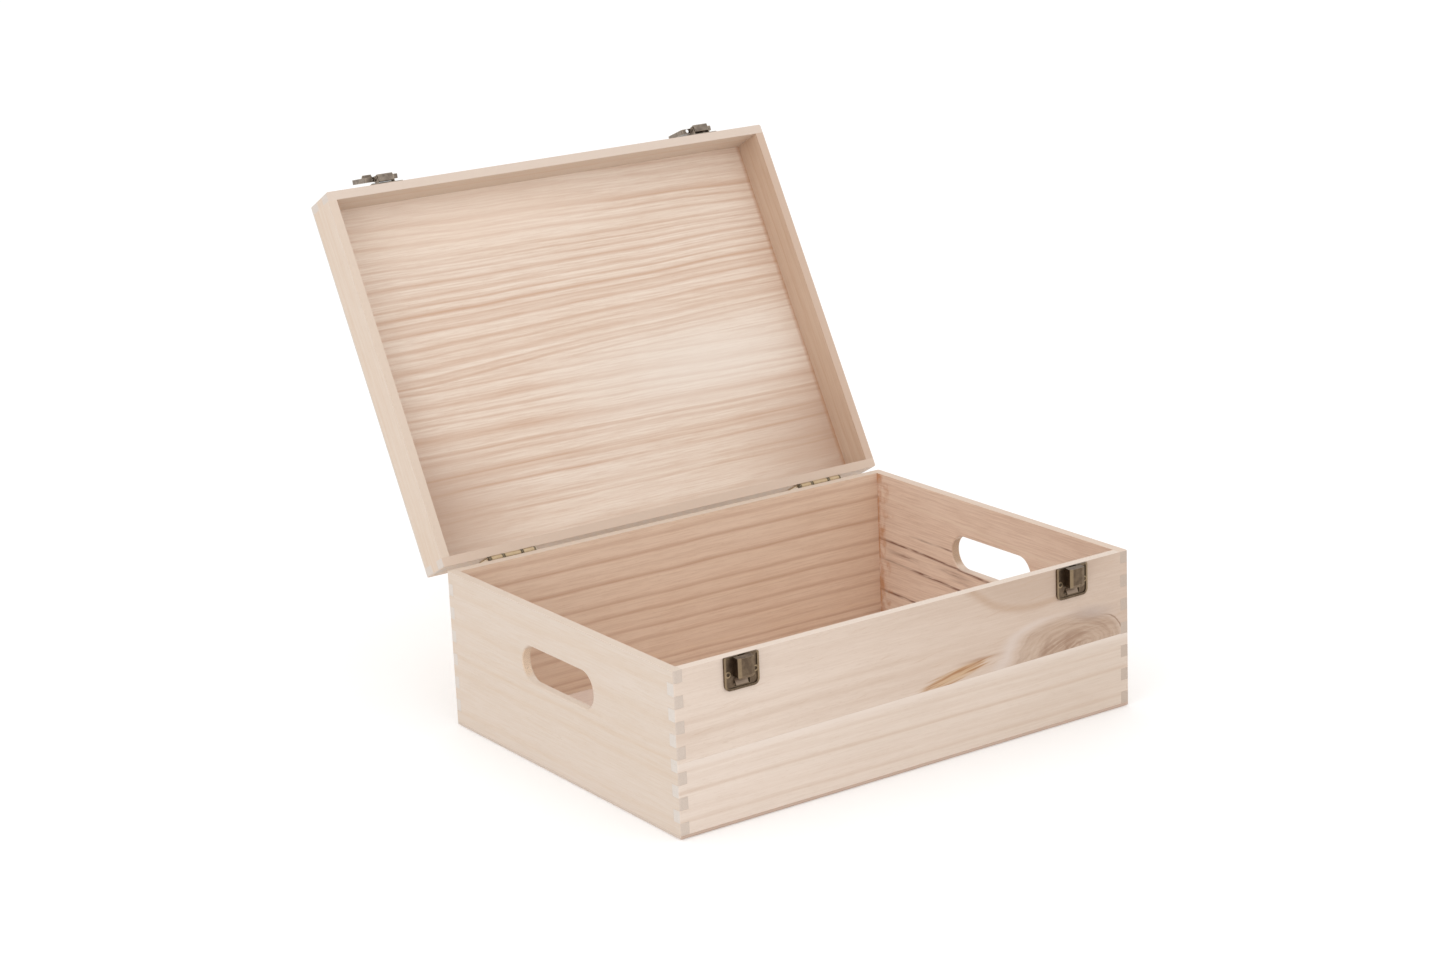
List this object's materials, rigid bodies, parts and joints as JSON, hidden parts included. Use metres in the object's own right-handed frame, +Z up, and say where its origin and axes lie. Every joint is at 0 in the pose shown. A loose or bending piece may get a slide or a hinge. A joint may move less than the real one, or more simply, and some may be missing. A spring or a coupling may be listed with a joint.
{
  "type": "wooden toy box",
  "caption": "Low rectangular paulownia toy box with finger-jointed corners, grip holes in both ends, and a shallow hinged lid held shut by hasp latches.",
  "frame": {"origin": "centre of the base's underside, where the box stands", "axes": "+X along the front to the viewer's right, -Y toward the front with the catch plates, +Z up; the lid stands open toward +Y"},
  "size_m": [0.4, 0.4894, 0.3899],
  "materials": {
    "wall_wood": "bare, planed, matt",
    "lid_panel_wood": "bare, planed, matt",
    "bottom_wood": "bare, sanded, matt",
    "aged_bronze": "antique bronze plating, satin, rubbed bright on its edges",
    "brass": "plated, semi-gloss"
  },
  "bodies": {
    "base": {"front_board_lower": "wall_wood", "front_board_upper": "wall_wood", "left_panel": "wall_wood", "right_panel": "wall_wood", "back_panel": "wall_wood", "bottom_panel": "bottom_wood", "left_catch_plate": "aged_bronze", "right_catch_plate": "aged_bronze", "catch_nails": "aged_bronze", "left_hinge_base_leaf": "brass", "right_hinge_base_leaf": "brass", "left_hinge_pin": "brass", "right_hinge_pin": "brass", "hinge_base_screws": "brass"},
    "lid": {"lid_front_rail": "wall_wood", "lid_back_rail": "wall_wood", "lid_left_rail": "wall_wood", "lid_right_rail": "wall_wood", "lid_top_panel": "lid_panel_wood", "left_hinge_lid_leaf": "brass", "right_hinge_lid_leaf": "brass", "hinge_lid_screws": "brass", "left_hasp_bracket": "aged_bronze", "right_hasp_bracket": "aged_bronze", "left_hasp_pin": "aged_bronze", "right_hasp_pin": "aged_bronze", "bracket_nails": "aged_bronze"},
    "left_hasp": {"left_hasp": "aged_bronze"},
    "right_hasp": {"right_hasp": "aged_bronze"}
  },
  "joints": [
    {"name": "lid_hinge", "type": "hinge", "parent": "base", "child": "lid", "pos_m": [0, 0.15135, 0.12015], "axis": [1, 0, 0], "range_deg": [0, 118.7]},
    {"name": "left_hasp_pivot", "type": "hinge", "parent": "lid", "child": "left_hasp", "pos_m": [-0.1455, 0.30436, 0.38621], "axis": [1, 0, 0], "range_deg": [-9.3, 163.2]},
    {"name": "right_hasp_pivot", "type": "hinge", "parent": "lid", "child": "right_hasp", "pos_m": [0.1455, 0.30436, 0.38621], "axis": [1, 0, 0], "range_deg": [0, 172.5]}
  ]
}
